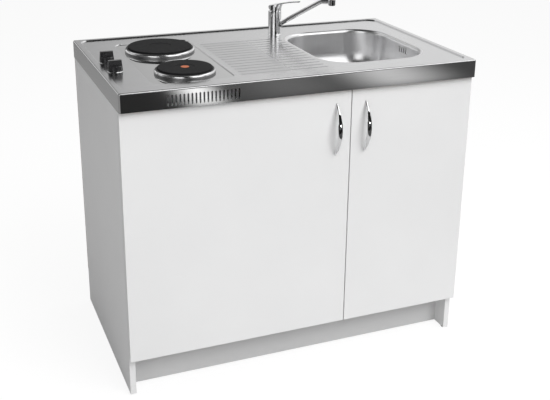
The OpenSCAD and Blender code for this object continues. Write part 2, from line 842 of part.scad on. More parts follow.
// Cranked arm from the pin to the plate on the panel
module hinge_arm() {
    web_x = neck_x + neck_r;
    translate([0, 0, -arm_w / 2]) linear_extrude(arm_w) difference() {
        union() {
            translate([pin_set, pin_set]) circle(2.2);
            translate([pin_set, arm_y - arm_t / 2]) square([neck_x - pin_set, arm_t]);
            translate([neck_x, arm_y + neck_r]) arc_band(neck_r - arm_t / 2, neck_r + arm_t / 2, -90, 0);
            translate([web_x - arm_t / 2, arm_y + neck_r])
                square([arm_t, door_t + buffer_t + arm_end - arm_y - neck_r]);
        }
        translate([pin_set, pin_set]) circle(pin_d / 2 + fit_gap);
    }
    // Channel round the web, open towards the panel
    translate([0, 0, -arm_w / 2 - 3]) {
        translate([web_x - arm_t / 2, door_t + buffer_t + 8, 0]) cube([arm_t, arm_end - 8, arm_w + 6]);
        for (z = [0, arm_w + 6 - 1.2]) translate([panel_t + hinge_plate_t, door_t + buffer_t + 8, z])
            cube([web_x - panel_t - hinge_plate_t, arm_end - 8, 1.2]);
    }
    // Plate screwed to the panel
    difference() {
        translate([panel_t, door_t + buffer_t + 14, 0]) rotate([0, 90, 0]) linear_extrude(hinge_plate_t) {
            translate([-12, 0]) square([24, 46]);
            translate([0, 23]) slot_2d_flat(18, 60);
        }
        for (s = [-1, 1]) translate([panel_t - 1, door_t + buffer_t + 37, s * 21]) rotate([0, 90, 0])
            cylinder(r = 2.2, h = 6);
    }
}

// The same slot laid along X
module slot_2d_flat(w, l) {
    rotate([0, 0, 90]) slot_2d(w, l);
}

module hinge_arms() {
    color("silver") for (side = [-1, 1], z = hinge_z) hand(side)
        translate([left_out, door_front, z]) hinge_arm();
}

// Bow handle: a crescent seen from the side, cut to a leaf seen from the front
module handle() {
    half = handle_len / 2;
    outer = arc_r(half, handle_out);
    inner_rise = handle_out - handle_t;
    inner = arc_r(half - 11, inner_rise);
    leaf = arc_r(leaf_half, handle_w / 2);
    difference() {
        intersection() {
            rotate([0, 90, 0]) translate([0, 0, -handle_w]) linear_extrude(2 * handle_w) difference() {
                intersection() {
                    translate([0, outer - handle_out]) circle(outer, $fn = arc_fn);
                    translate([-half, -handle_out]) square([handle_len, handle_out]);
                }
                translate([0, inner - inner_rise]) circle(inner, $fn = arc_fn);
            }
            rotate([90, 0, 0]) translate([0, 0, -1]) linear_extrude(handle_out + 2) intersection() {
                translate([leaf - handle_w / 2, 0]) circle(leaf, $fn = arc_fn);
                translate([handle_w / 2 - leaf, 0]) circle(leaf, $fn = arc_fn);
            }
        }
        for (s = [-1, 1]) translate([0, 1, s * screw_z]) rotate([90, 0, 0])
            cylinder(r = screw_r + fit_gap, h = screw_bite + 1 + fit_gap);
    }
}

// Screws through the door into the handle's feet, heads inside
module handle_screws() {
    for (s = [-1, 1]) translate([0, door_t, s * screw_z]) rotate([90, 0, 0]) difference() {
        union() {
            cylinder(r = screw_r, h = door_t + screw_bite);
            translate([0, 0, -2.4]) cylinder(r1 = 3.2, r2 = 4.2, h = 2.4);
        }
        for (a = [0, 90]) rotate([0, 0, a]) translate([-2, -0.5, -2.5]) cube([4, 1, 1.3]);
    }
}

// Places children at the middle of a handle, on the door's front
module at_handle(side) {
    hx = split + side * handle_in;
    translate([hx, door_front, handle_z]) children();
}

module door_buffers(inner, way) {
    for (z = [kick_h + 30, door_top - 30]) translate([inner + way * 5, door_back, z]) rotate([-90, 0, 0])
        cylinder(d1 = 8, d2 = 6, h = buffer_t - seat_gap);
}

left_edge = split - door_gap / 2;
right_edge = -split - door_gap / 2;

module left_door() { color("white") door(left_out, left_edge); }
module right_door() { color("white") mirror([1, 0, 0]) door(left_out, right_edge); }
module left_hinge_cups() { color("silver") hinge_cup(left_out); }
module right_hinge_cups() { color("silver") mirror([1, 0, 0]) hinge_cup(left_out); }
module left_handle() { color("silver") at_handle(-1) handle(); }
module right_handle() { color("silver") at_handle(1) handle(); }
module left_handle_screws() { color("gray") at_handle(-1) handle_screws(); }
module right_handle_screws() { color("gray") at_handle(1) handle_screws(); }
module left_door_buffers() { color("lightgray") door_buffers(left_edge, -1); }
module right_door_buffers() { color("lightgray") mirror([1, 0, 0]) door_buffers(right_edge, -1); }

// ---------- Drain ----------

module waste_strainer() {
    r = waste_d / 2;
    color("silver") on_top(bowl_x, bowl_y, floor_z) difference() {
        rotate_extrude() polygon([[0, -6], [r - 1, -6], [r - 1, 0], [r + waste_lip, 0],
            [r + waste_lip, 0.8], [r + waste_lip - 2, 1.6], [r - 3, 1.6], [r - 5, -4.5], [0, -4.5]]);
        for (ring = [[9, 6], [18, 12]], i = [0 : ring[1] - 1])
            rotate([0, 0, 360 / ring[1] * i]) translate([ring[0], 0, -7]) cylinder(r = 2, h = 4);
    }
}

// Plastic cup under the bowl, drawn in to the trap's inlet, with a spigot for the overflow
module waste_body() {
    r = waste_d / 2 + 4;
    neck = trap_inlet_r - 1;
    color("white") on_top(bowl_x, bowl_y, waste_z) {
        difference() {
            union() {
                rotate_extrude() polygon([[neck - 2, -waste_tail], [neck, -waste_tail], [neck, -40],
                    [r, -30], [r, 0], [r - 3, 0], [r - 3, -28], [neck - 2, -38]]);
                translate([r - 6, 0, spigot_z - waste_z]) rotate([0, 90, 0])
                    cylinder(r = 11, h = 6 + spigot_len);
            }
            translate([0, 0, spigot_z - waste_z]) rotate([0, 90, 0])
                cylinder(r = 9, h = r + 2 * spigot_len);
            translate([0, 0, -28]) cylinder(r = r - 3, h = 30);
        }
    }
}
trap_inlet_r = 19;
waste_tail = waste_z - drain_z + 40;
spigot_z = waste_z - 16;
spigot_len = 14;

// Line of the pipe from behind the overflow slots down and along to the waste body
module overflow_run(r, extra) {
    start_x = bowl_x + waste_d / 2 + 4 + spigot_len + seat_gap;
    on_top(riser_x, overflow_y, spigot_z) cylinder(r = r - fit_gap, h = overflow_z - 10 - spigot_z);
    on_top(riser_x, overflow_y, spigot_z) sphere(r = r);
    on_top(riser_x, overflow_y, spigot_z) rotate([-90, 0, 0]) cylinder(r = r - fit_gap, h = bowl_y - overflow_y);
    on_top(riser_x, bowl_y, spigot_z) sphere(r = r);
    on_top(start_x - extra, bowl_y, spigot_z) rotate([0, 90, 0])
        cylinder(r = r - fit_gap, h = riser_x - start_x + extra);
}

// Box behind the slots, leaning with the bowl's wall
module overflow_box(inset) {
    down = well_z - overflow_z - lip_r * (1 - sin(bowl_lean));
    wall_x = bowl_x + bowl_w / 2 + lip_r * (1 - cos(bowl_lean)) - down * tan(bowl_lean);
    back = wall_x + sheet_t / cos(bowl_lean) + 0.5;
    on_top(back, overflow_y, overflow_z) rotate([0, bowl_lean, 0])
        translate([inset > 0 ? -1 : 0, inset - vent_box_w / 2, inset - vent_box_h / 2])
            cube([vent_box_d - (inset > 0 ? inset - 1 : 0), vent_box_w - 2 * inset, vent_box_h - 2 * inset]);
}
riser_x = bowl_x + bowl_w / 2 + 12;
vent_box_w = 54;
vent_box_h = 28;
vent_box_d = 24;

module overflow_pipe() {
    color("whitesmoke") difference() {
        union() {
            overflow_run(9, 0);
            overflow_box(0);
        }
        overflow_run(7.5, 1);
        overflow_box(1.5);
    }
}

// Bottle trap: inlet collar, side outlet and round body
module trap_body() {
    color("white") on_top(trap_x, trap_y) difference() {
        union() {
            translate([0, 0, trap_bottom]) cylinder(d = trap_d - 8, h = trap_neck + trap_deep);
            translate([0, 0, drain_z + trap_neck]) cylinder(r = trap_inlet_r + 3, h = trap_collar);
            translate([0, 0, drain_z]) rotate([-90, 0, 0])
                cylinder(d = drain_d + 2 * nut_wall, h = trap_d / 2 + trap_side);
        }
        translate([0, 0, trap_bottom - 1]) cylinder(d = trap_d - 14, h = trap_neck + trap_deep - 2);
        translate([0, 0, drain_z]) cylinder(r = trap_inlet_r + fit_gap - 1, h = 2 * trap_deep);
        translate([0, 0, drain_z]) rotate([-90, 0, 0])
            cylinder(d = drain_d + 2 * fit_gap, h = trap_d + trap_side);
    }
}

module trap_cup() {
    color("lightgray") on_top(trap_x, trap_y, trap_bottom - trap_cap) difference() {
        union() {
            cylinder(d = trap_d, h = trap_cap + cup_lap);
            for (i = [0 : 11]) rotate([0, 0, 30 * i]) translate([trap_d / 2, 0, 0])
                cylinder(r = 1.6, h = trap_cap + cup_lap - 4);
        }
        translate([0, 0, 3]) cylinder(d = trap_d - 8 + 2 * fit_gap, h = trap_cap + 2 * cup_lap);
    }
}

cup_lap = 14;

// Slip nuts at the trap's inlet and outlet
module trap_nuts() {
    color("white") {
        on_top(trap_x, trap_y, trap_top) difference() {
            cylinder(r = trap_inlet_r + 6, h = slip_h);
            translate([0, 0, -1]) cylinder(r = trap_inlet_r - 1 + fit_gap, h = 2 * slip_h);
        }
        on_top(trap_x, trap_y + trap_d / 2 + trap_side, drain_z) rotate([-90, 0, 0]) difference() {
            cylinder(d = drain_d + 2 * nut_wall + 6, h = slip_h);
            translate([0, 0, -1]) cylinder(d = drain_d + 2 * fit_gap, h = 2 * slip_h);
        }
    }
}
slip_h = 16;

// Waste pipe, with a ring that stops it in the building's socket
module outlet_pipe() {
    start = trap_y + trap_d / 2 - 4;
    run = top_d - start - 1;
    ring_w = 4;
    color("white") on_top(trap_x, start, drain_z) rotate([-90, 0, 0]) difference() {
        union() {
            cylinder(d = drain_d, h = run);
            translate([0, 0, run - drain_end - ring_w]) cylinder(d = drain_d + 6, h = ring_w);
        }
        translate([0, 0, -1]) cylinder(d = drain_d - 2 * pipe_t, h = top_d);
    }
}

// ---------- Tap ----------

stem_r = tap_d / 2 - 4;
tail_gap = 9;
tail_clear = 150;
tail_top = well_z - 12;
tail_z = shelf_z + panel_t + tail_clear;
tail_end = 30;
sleeve_top = tap_mid_z + neck_h;

// Places children on the tap's axis, with X along the spout
module at_tap(z = 0) {
    on_top(tap_x, tap_y, z) rotate([0, 0, -spout_turn]) children();
}

// Fixed foot: flange on the sheet, post that the body turns on, threaded shank below
module tap_base() {
    color("silver") at_tap(well_z) difference() {
        union() {
            rotate_extrude() polygon([[0, 0], [tap_d / 2 + 0.8, 0], [tap_d / 2 + 0.8, 2],
                [tap_d / 2, 3], [tap_d / 2, tap_base_h - wall_gap], [stem_r, tap_base_h - wall_gap],
                [stem_r, tap_base_h + neck_h - 4], [0, tap_base_h + neck_h - 4]]);
            translate([0, 0, -70]) cylinder(r = stem_r, h = 71);
        }
        for (s = [-1, 1]) translate([0, s * tail_gap, -71]) cylinder(r = 5 + fit_gap, h = 60);
    }
}

module tap_fixing() {
    low = well_under - 14;
    color("goldenrod") at_tap() {
        translate([0, 0, well_under - 3]) difference() {
            cylinder(r = 28, h = 3);
            translate([0, 0, -1]) cylinder(r = stem_r + seat_gap, h = 5);
        }
        translate([0, 0, low]) difference() {
            cylinder(r = 23, h = 11, $fn = 6);
            translate([0, 0, -1]) cylinder(r = stem_r + fit_gap, h = 13);
        }
    }
}

// Copper tails for cold and hot water, square ends down, each with a bead that stops the fitting
module water_tails() {
    bead_h = 2.5;
    color("peru") at_tap(tail_z) for (s = [-1, 1])
        translate([0, s * tail_gap, 0]) difference() {
            union() {
                cylinder(r = 5, h = tail_top - tail_z);
                translate([0, 0, tail_end]) cylinder(r = 6.5, h = bead_h);
            }
            translate([0, 0, -1]) cylinder(r = 4, h = tail_top - tail_z - 4);
        }
}

// Turned body: socket over the post, chamber for the cartridge and collar for the spout
module mixer_body() {
    r = tap_d / 2;
    root_z = well_z + spout_h - bend_r * (1 - cos(spout_slope))
        - (spout_reach - head_len - bend_r * sin(spout_slope)) * tan(spout_slope);
    collar = r / cos(spout_slope) + 5;
    color("silver") at_tap() difference() {
        union() {
            translate([0, 0, tap_mid_z]) rotate_extrude()
                polygon([[0, 0], [r, 0], [r, tap_h - tap_base_h - 1], [r - 1, tap_h - tap_base_h],
                    [0, tap_h - tap_base_h]]);
            translate([0, 0, root_z]) rotate([0, 90 - spout_slope, 0]) {
                cylinder(r = spout_d / 2 + 3, h = collar - 2);
                translate([0, 0, collar - 2]) cylinder(r1 = spout_d / 2 + 3, r2 = spout_d / 2 + 1.5, h = 2);
            }
            translate([0, 0, pivot_z]) intersection() {
                sphere(r = dome_r);
                translate([0, 0, -body_top - 1]) cylinder(r = dome_r, h = body_top + 1 + dome_cut);
            }
        }
        translate([0, 0, tap_mid_z - 1]) cylinder(r = stem_r + fit_gap, h = neck_h - 3 + wall_gap);
        translate([0, 0, cart_z]) cylinder(r = cart_r + fit_gap, h = 60);
        translate([0, 0, root_z]) rotate([0, 90 - spout_slope, 0])
            translate([0, 0, r / cos(spout_slope) - 5]) cylinder(r = spout_d / 2, h = 40);
    }
}
cart_r = 11;
cart_z = sleeve_top + 2;

// Ceramic cartridge, open at the top round the stem
module cartridge() {
    color("white") at_tap() difference() {
        union() {
            translate([0, 0, cart_z]) cylinder(r = cart_r, h = pivot_z + 4 - cart_z);
            translate([0, 0, pivot_z + 4]) cylinder(r = cart_r - 1, h = 2);
        }
        translate([0, 0, pivot_z - 8]) cylinder(r = stem_ball + 0.1, h = 40);
        translate([0, 0, pivot_z + 1]) cylinder(r = stem_ball + 1.5, h = 10);
    }
}
stem_ball = 7;

// Stem that turns in the cartridge, with a cross pin for the lever
module lever_stem() {
    color("gray") at_tap(pivot_z) {
        difference() {
            translate([0, 0, -7]) cylinder(r = stem_ball, h = 9);
            translate([-10, -3.1, -3.2]) cube([20, 6.2, 12]);
        }
        rotate([90, 0, 0]) translate([0, 0, -4]) cylinder(r = 1.5, h = 8);
    }
}

// Cap over the cartridge with its blade, and the tongue that sits on the cross pin
module tap_lever() {
    color("silver") at_tap(pivot_z) {
        difference() {
            union() {
                intersection() {
                    union() {
                        translate([0, 0, -cap_r]) cylinder(r = cap_r, h = 3 * cap_r);
                        rotate([0, cap_lean, 0]) cylinder(r = cap_r - 1.5, h = 3 * cap_r);
                    }
                    translate([2, 0, cap_top]) rotate([0, -cap_slope, 0]) rotate_extrude() cap_edge();
                    rotate([0, cap_tilt, 0]) translate([-50, -50, -1]) cube([100, 100, 60]);
                }
                translate([0, 0, cap_top - 1.8]) blade();
            }
            intersection() {
                sphere(r = dome_r + seat_gap);
                translate([0, 0, -30]) cylinder(r = cap_r, h = 30 + cap_top - cap_wall);
            }
        }
        difference() {
            union() {
                translate([-3, -2.8, 0]) cube([6, 5.6, cap_top - cap_wall + 1]);
                rotate([90, 0, 0]) translate([0, 0, -2.8]) cylinder(r = 3, h = 5.6);
            }
            rotate([90, 0, 0]) translate([0, 0, -5]) cylinder(r = 1.5 + fit_gap, h = 10);
        }
    }
}
cap_top = 15;
cap_tilt = 8.8;
cap_lean = 20;
cap_slope = 12;

// Half of the cap's sloping top, with its round edge
module cap_edge() {
    edge = 5;
    reach = cap_r + 3;
    translate([0, -2 * cap_r]) square([reach, 2 * cap_r - edge]);
    translate([0, -edge]) square([reach - edge, edge]);
    translate([reach - edge, -edge]) intersection() {
        circle(edge);
        square(edge);
    }
}

// Blade of the lever: an arc that rises and levels off, with a round tip
module blade() {
    bow = 347;
    level_x = lever_len + 27.5;
    tip = 6;
    intersection() {
        translate([0, 0, -10]) linear_extrude(60) {
            polygon([[0, -9], [lever_len - tip, -tip], [lever_len - tip, tip], [0, 9]]);
            translate([lever_len - tip, 0]) circle(tip);
        }
        rotate([90, 0, 0]) translate([level_x, -bow * cos(18.6), -20]) linear_extrude(40)
            difference() {
                circle(bow, $fn = arc_fn);
                circle(bow - 3.2, $fn = arc_fn);
            }
    }
}

// Line of the spout: straight run, bend and level end
module spout_run(r) {
    level = spout_reach - head_len;
    root = bend_r * sin(spout_slope);
    start = tap_d / 2 - 3;
    run = (level - root - start) / cos(spout_slope);
    translate([level - root, 0, spout_h - bend_r * (1 - cos(spout_slope))])
        rotate([0, -90 - spout_slope, 0]) cylinder(r = r - fit_gap, h = run);
    translate([level, 0, spout_h - bend_r]) rotate([90, 0, 0]) rotate([0, 0, 90])
        rotate_extrude(angle = spout_slope) translate([bend_r, 0]) circle(r);
    translate([level, 0, spout_h]) rotate([0, 90, 0]) cylinder(r = r - fit_gap, h = head_len);
}

module spout() {
    r = spout_d / 2;
    color("silver") at_tap(well_z) difference() {
        union() {
            spout_run(r);
            translate([spout_reach, 0, spout_h]) rotate_extrude()
                polygon([[0, -7.8], [r + 3.5, -7.8], [r + 3.5, 7.6], [r + 2.5, 8.6], [0, 8.6]]);
        }
        spout_run(r - spout_wall);
        translate([spout_reach, 0, spout_h - 8.5]) cylinder(r = r + 1, h = 9.5);
    }
}

module aerator() {
    r = spout_d / 2;
    color("silver") at_tap(well_z + spout_h - 9.8) translate([spout_reach, 0, 0]) difference() {
        union() {
            cylinder(r = r + 2.5, h = 2);
            cylinder(r = r + 1 - fit_gap, h = 8);
        }
        for (i = [0 : 5]) rotate([0, 0, 60 * i]) translate([4.4, 0, -1]) cylinder(r = 1.4, h = 10);
        translate([0, 0, -1]) cylinder(r = 1.4, h = 10);
    }
}

worktop();
sink_bowl();
worktop_battens();
hob_cover_box();
large_hotplate();
small_hotplate();
large_plate_ring();
small_plate_ring();
plate_clamps();
red_dot();
rear_switch();
front_switch();
knob_bezels();
rear_knob();
rear_spindle();
front_knob();
front_spindle();
terminal_block();
cable_gland();
left_side_panel();
right_side_panel();
partition_panel();
bottom_panel();
back_panel();
plinth_board();
front_rails();
rear_rails();
shelf();
shelf_pins();
panel_glides();
left_door();
right_door();
left_handle();
right_handle();
left_handle_screws();
right_handle_screws();
left_hinge_cups();
right_hinge_cups();
hinge_arms();
left_door_buffers();
right_door_buffers();
waste_strainer();
waste_body();
overflow_pipe();
trap_body();
trap_cup();
trap_nuts();
outlet_pipe();
tap_base();
tap_fixing();
water_tails();
mixer_body();
spout();
aerator();
cartridge();
lever_stem();
tap_lever();
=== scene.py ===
from math import asin, atan2, cos, pi, sin

import bmesh
import bpy
from mathutils import Matrix, Vector


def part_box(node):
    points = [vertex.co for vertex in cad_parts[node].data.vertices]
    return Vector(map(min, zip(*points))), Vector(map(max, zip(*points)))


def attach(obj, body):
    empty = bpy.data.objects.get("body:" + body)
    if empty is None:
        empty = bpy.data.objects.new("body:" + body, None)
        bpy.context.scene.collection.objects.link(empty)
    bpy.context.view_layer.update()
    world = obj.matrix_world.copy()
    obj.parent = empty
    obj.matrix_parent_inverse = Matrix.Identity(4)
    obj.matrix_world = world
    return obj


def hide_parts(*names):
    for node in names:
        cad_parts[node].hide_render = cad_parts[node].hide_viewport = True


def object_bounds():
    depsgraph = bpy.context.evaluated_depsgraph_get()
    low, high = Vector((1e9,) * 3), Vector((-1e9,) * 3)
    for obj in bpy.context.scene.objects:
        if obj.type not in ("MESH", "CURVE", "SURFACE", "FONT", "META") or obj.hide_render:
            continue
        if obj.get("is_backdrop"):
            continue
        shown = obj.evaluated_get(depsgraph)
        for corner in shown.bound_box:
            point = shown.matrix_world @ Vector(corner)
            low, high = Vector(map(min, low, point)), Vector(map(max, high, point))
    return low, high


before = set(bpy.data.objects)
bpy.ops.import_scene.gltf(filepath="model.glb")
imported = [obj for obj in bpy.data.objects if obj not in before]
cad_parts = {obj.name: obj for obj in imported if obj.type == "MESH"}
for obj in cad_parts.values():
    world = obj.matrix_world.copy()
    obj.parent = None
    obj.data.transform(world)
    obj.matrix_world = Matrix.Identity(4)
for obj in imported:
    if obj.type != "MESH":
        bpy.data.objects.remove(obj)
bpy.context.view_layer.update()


# ---- Viewpoint ----
# The photograph was taken from the left of the unit, from above the worktop, with a short
# telephoto lens that was moved up a little, so that uprights lean less than the tilt alone gives.
picture_wide = 550
picture_high = 400
lens_axis_row = 144
focal_pixels = 916.1
sensor_wide = 36
stand = (-0.9351, -2.365, 1.4747)
turned = 0.3842
tilted = 0.3393
rolled = 0.0104
ahead = Vector((sin(turned) * cos(tilted), cos(turned) * cos(tilted), -sin(tilted)))
level = Vector((cos(turned), -sin(turned), 0))
upright = level.cross(ahead)
sideways = level * cos(rolled) + upright * sin(rolled)
upwards = upright * cos(rolled) - level * sin(rolled)
lens = bpy.data.cameras.new("viewpoint")
lens.sensor_width = sensor_wide
lens.lens = focal_pixels / picture_wide * sensor_wide
lens.shift_y = -(picture_high / 2 - lens_axis_row) / picture_wide
viewer = bpy.data.objects.new("viewpoint", lens)
viewer.matrix_world = (Matrix.Translation(stand)
                       @ Matrix((sideways, upwards, -ahead)).transposed().to_4x4())
bpy.context.scene.collection.objects.link(viewer)
bpy.context.scene.camera = viewer
bpy.context.scene.view_settings.view_transform = "Standard"


# ---- Studio ----
# White paper lies under the unit, before a white backdrop. Polished metal shows the rest of the room
# instead: a dark floor with light patches, soft boxes all round, a grey wall on the left that turns
# white behind the unit, and two black cards in front, which the handles show as dark bands.
class Value:
    """A socket of a finish. Sums on values are Python expressions that add their own maths nodes."""

    def __init__(self, finish, socket):
        self.finish = finish
        self.socket = socket

    def maths(self, operation, *others):
        return self.finish.node("Math", {"operation": operation}, dict(enumerate((self,) + others)))

    def __add__(self, other):
        return self.maths("ADD", other)

    __radd__ = __add__

    def __mul__(self, other):
        return self.maths("MULTIPLY", other)

    __rmul__ = __mul__

    def __sub__(self, other):
        return self.maths("SUBTRACT", other)

    def __rsub__(self, other):
        return self.finish.node("Math", {"operation": "SUBTRACT"}, {0: other, 1: self})

    def __lt__(self, other):
        return self.maths("LESS_THAN", other)


class Finish:
    """A node tree: a new material on the standard surface shader, or a given tree."""

    def __init__(self, name, tree=None):
        if tree is None:
            self.material = bpy.data.materials.new(name)
            self.material.use_nodes = True
            tree = self.material.node_tree
        self.tree = tree
        self.surface = tree.nodes.get("Principled BSDF")

    def node(self, kind, settings=None, inputs=None, output=0):
        made = self.tree.nodes.new("ShaderNode" + kind)
        for name, setting in (settings or {}).items():
            setattr(made, name, setting)
        for name, given in (inputs or {}).items():
            self.feed(made.inputs[name], given)
        return Value(self, made.outputs[output])

    def feed(self, socket, given):
        if isinstance(given, Value):
            self.tree.links.new(given.socket, socket)
        elif isinstance(given, tuple) and socket.type == "RGBA":
            socket.default_value = (*given, 1)
        else:
            socket.default_value = given

    def give(self, **inputs):
        for name, given in inputs.items():
            self.feed(self.surface.inputs[name.replace("_", " ")], given)

    def close(self, shader, ending):
        self.tree.links.new(shader.socket, self.tree.nodes[ending].inputs["Surface"])

    def place(self, centre=(0, 0, 0), size=(1, 1, 1)):
        spot = self.node("TexCoord", output="Object")
        away = self.node("VectorMath", {"operation": "SUBTRACT"}, {0: spot, 1: centre})
        return self.node("Mapping", None, {"Vector": away, "Scale": size})

    def along(self, axis):
        return self.node("SeparateXYZ", None, {0: self.place()}, "XYZ".index(axis))

    def speckle(self, scale, detail=2, where=None):
        return self.node("TexNoise", None, {"Vector": where or self.place(), "Scale": scale,
                                            "Detail": detail})

    def flakes(self, scale, where=None):
        cells = self.node("TexVoronoi", {"feature": "F1"},
                          {"Vector": where or self.place(), "Scale": scale}, 1)
        return self.node("SeparateColor", None, {0: cells}, 0)

    def mix(self, first, second, share):
        return self.node("Mix", {"data_type": "RGBA"}, {0: share, 6: first, 7: second}, 2)

    def spread(self, value, low, high):
        return self.node("MapRange", {"interpolation_type": "SMOOTHSTEP"},
                         {"Value": value, "From Min": low, "From Max": high})

    def relief(self, height, depth, strength):
        self.give(Normal=self.node("Bump", None, {"Height": height, "Distance": depth,
                                                  "Strength": strength}))


plain_white = (1, 1, 1)
floor_radius = 14
floor_mesh = bmesh.new()
bmesh.ops.create_circle(floor_mesh, cap_ends=True, segments=64, radius=floor_radius)
floor_data = bpy.data.meshes.new("floor")
floor_mesh.to_mesh(floor_data)
floor = bpy.data.objects.new("floor", floor_data)
bpy.context.scene.collection.objects.link(floor)
floor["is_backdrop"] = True

paper = Finish("paper_floor")
paper_edge = -1.57
paper_slant = 0.8
edge_blur = 0.05
across = paper.along("X")
deep = paper.along("Y")
on_paper = paper.spread(deep - paper_slant * across, paper_edge - edge_blur, paper_edge)
paper.give(Base_Color=paper.mix((0.008, 0.008, 0.008), (0.5, 0.5, 0.5), on_paper), Roughness=0.95)

# The light patches: left edge, brightest line and right edge in metres, and their strength.
light_patches = ((0.36, 0.55, 0.72, 1.8), (0.6, 1.1, 1.6, 0.13), (1.35, 1.78, 2.3, 0.85))
patches_back = (-2.76, -2.9)
patches_front = (-3.6, -3.4)
floor_sheen = 0.05
in_front = paper.spread(deep, *patches_back) * paper.spread(deep, *patches_front)
patch_light = floor_sheen * paper.spread(across, 0.3, 0.8)
for left, peak, right, light in light_patches:
    stripe = paper.spread(across, left, peak) * paper.spread(across, right, peak)
    patch_light = patch_light + stripe * light * in_front
backdrop_level = 1.02
shadow_share = 0.14
matt = Value(paper, paper.surface.outputs[0])
glow = paper.node("Emission", None, {"Color": plain_white, "Strength": patch_light})
mirrored = paper.node("AddShader", None, {0: matt, 1: glow})
white = paper.node("Emission", None, {"Color": plain_white, "Strength": backdrop_level})
shadowed = paper.node("BsdfDiffuse", None, {"Color": plain_white})
photographed = paper.node("MixShader", None, {0: 1 - shadow_share, 1: shadowed, 2: white})
glossy_ray = paper.node("LightPath", output="Is Glossy Ray")
camera_ray = paper.node("LightPath", output="Is Camera Ray")
unseen = paper.node("MixShader", None, {0: glossy_ray, 1: matt, 2: mirrored})
paper.close(paper.node("MixShader", None, {0: camera_ray, 1: unseen, 2: photographed}), "Material Output")
floor_data.materials.append(paper.material)

world = bpy.data.worlds.new("studio")
world.use_nodes = True
bpy.context.scene.world = world
air = Finish("studio", world.node_tree)
way = air.node("TexCoord", output="Generated")
east, north, rise = (air.node("SeparateXYZ", None, {0: way}, axis) for axis in range(3))
bearing = east.maths("ARCTAN2", north) * (180 / pi)


def window(value, start, end, blur):
    return air.spread(value, start - blur, start + blur) * air.spread(value, end + blur, end - blur)


# The soft boxes: bearing from and to in degrees with 0 behind the unit, its blur, the sine of the
# elevation from and to, its blur, and the strength.
soft_boxes = ((-157, -124, 3, 0.02, 0.66, 0.03, 1.5),
              (120, 166, 4, 0.14, 0.95, 0.02, 1.8),
              (50, 118, 6, 0.55, 0.85, 0.03, 1.3),
              (-60, -2, 6, 0.44, 0.8, 0.04, 0.8),
              (-75, -8, 6, 0.02, 0.3, 0.03, 0.85))
dark_room = 0.03
ambient = 0.47
wall_darkest = 0.1
wall_gain = 0.8
wall = wall_darkest + wall_gain * air.spread(bearing, -10, 31)
room = dark_room + wall * window(bearing, -117, 112, 6) * air.spread(rise, 0.8, 0.52)
for first, last, blur, low, high, high_blur, light in soft_boxes:
    room = room + light * window(bearing, first, last, blur) * window(rise, low, high, high_blur)
glossy_ray = air.node("LightPath", output="Is Glossy Ray")
camera_ray = air.node("LightPath", output="Is Camera Ray")
through_ray = air.node("LightPath", output="Is Transmission Ray")
seen = (camera_ray + through_ray).maths("MINIMUM", 1)
strength = glossy_ray * room + seen + (1 - glossy_ray) * (1 - seen) * ambient
air.close(air.node("Background", None, {"Color": plain_white, "Strength": strength}), "World Output")


def soft_box(name, place, target, width, height, power, glossy=False):
    data = bpy.data.lights.new(name, "AREA")
    data.shape = "RECTANGLE"
    data.size = width
    data.size_y = height
    data.energy = power
    lamp = bpy.data.objects.new(name, data)
    lamp.location = place
    lamp.rotation_euler = (Vector(target) - Vector(place)).to_track_quat("-Z", "Y").to_euler()
    lamp.visible_camera = False
    lamp.visible_glossy = glossy
    bpy.context.scene.collection.objects.link(lamp)


soft_box("key_lamp", (1.15, -3.1, 3.7), (0.1, -0.3, 0.6), 2.8, 2.8, 148)
soft_box("top_lamp", (0.5, 0.1, 3.2), (0.1, 0, 0.9), 2.2, 1.6, 24)
soft_box("side_lamp", (-1.7, -1.5, 1.35), (-0.5, -0.2, 0.8), 0.9, 0.9, 3.4)
soft_box("handle_lamp", (1.22, -2.55, 0.64), (0.12, -0.3, 0.72), 0.36, 0.15, 2.5, True)

card_middle_x = 0.45
card_half_wide = 0.6
card_y = -0.9
card_heights = ((0.44, 0.585), (0.76, 1.1))
flag_mesh = bmesh.new()
for low, high in card_heights:
    card = bmesh.ops.create_grid(flag_mesh, x_segments=1, y_segments=1, size=1)["verts"]
    bmesh.ops.scale(flag_mesh, verts=card, vec=(card_half_wide, (high - low) / 2, 1))
    bmesh.ops.rotate(flag_mesh, verts=card, matrix=Matrix.Rotation(pi / 2, 3, "X"))
    bmesh.ops.translate(flag_mesh, verts=card, vec=(card_middle_x, card_y, (low + high) / 2))
flag_data = bpy.data.meshes.new("flag")
flag_mesh.to_mesh(flag_data)
flag = bpy.data.objects.new("flag", flag_data)
bpy.context.scene.collection.objects.link(flag)
flag.visible_camera = False
flag.visible_diffuse = False
flag.visible_shadow = False
flag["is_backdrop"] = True
velvet = Finish("black_velvet")
velvet.give(Base_Color=(0.004, 0.004, 0.004), Roughness=1.0)
flag_data.materials.append(velvet.material)


# ---- Cabinet ----
# Sides, bottom, partition, plinth, rails and shelf are melamine-faced chipboard, sawn and edged
# with a thin strip, joined by dowels and glue. The back is hardboard, slid in from behind.
def dress(finish, *names):
    for name in names:
        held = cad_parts[name].data.materials
        held.clear()
        held.append(finish.material)


melamine = Finish("white_melamine")
melamine.give(Base_Color=melamine.mix((0.83, 0.83, 0.832), (0.87, 0.87, 0.87), melamine.speckle(6)),
              Roughness=0.32 + 0.08 * melamine.speckle(14, 3))
melamine.relief(melamine.speckle(900, 3), 0.00008, 0.35)
dress(melamine, "left_side_panel", "right_side_panel", "partition_panel", "bottom_panel",
      "front_rails", "rear_rails", "shelf")

# The plinth is the same melamine, painted greyer than the sides and doors as painted shade under the
# doors.
plinth = Finish("plinth_painted_shade")
plinth.give(Base_Color=plinth.mix((0.66, 0.66, 0.662), (0.7, 0.7, 0.7), plinth.speckle(6)),
            Roughness=0.34 + 0.08 * plinth.speckle(14, 3))
dress(plinth, "plinth_board")

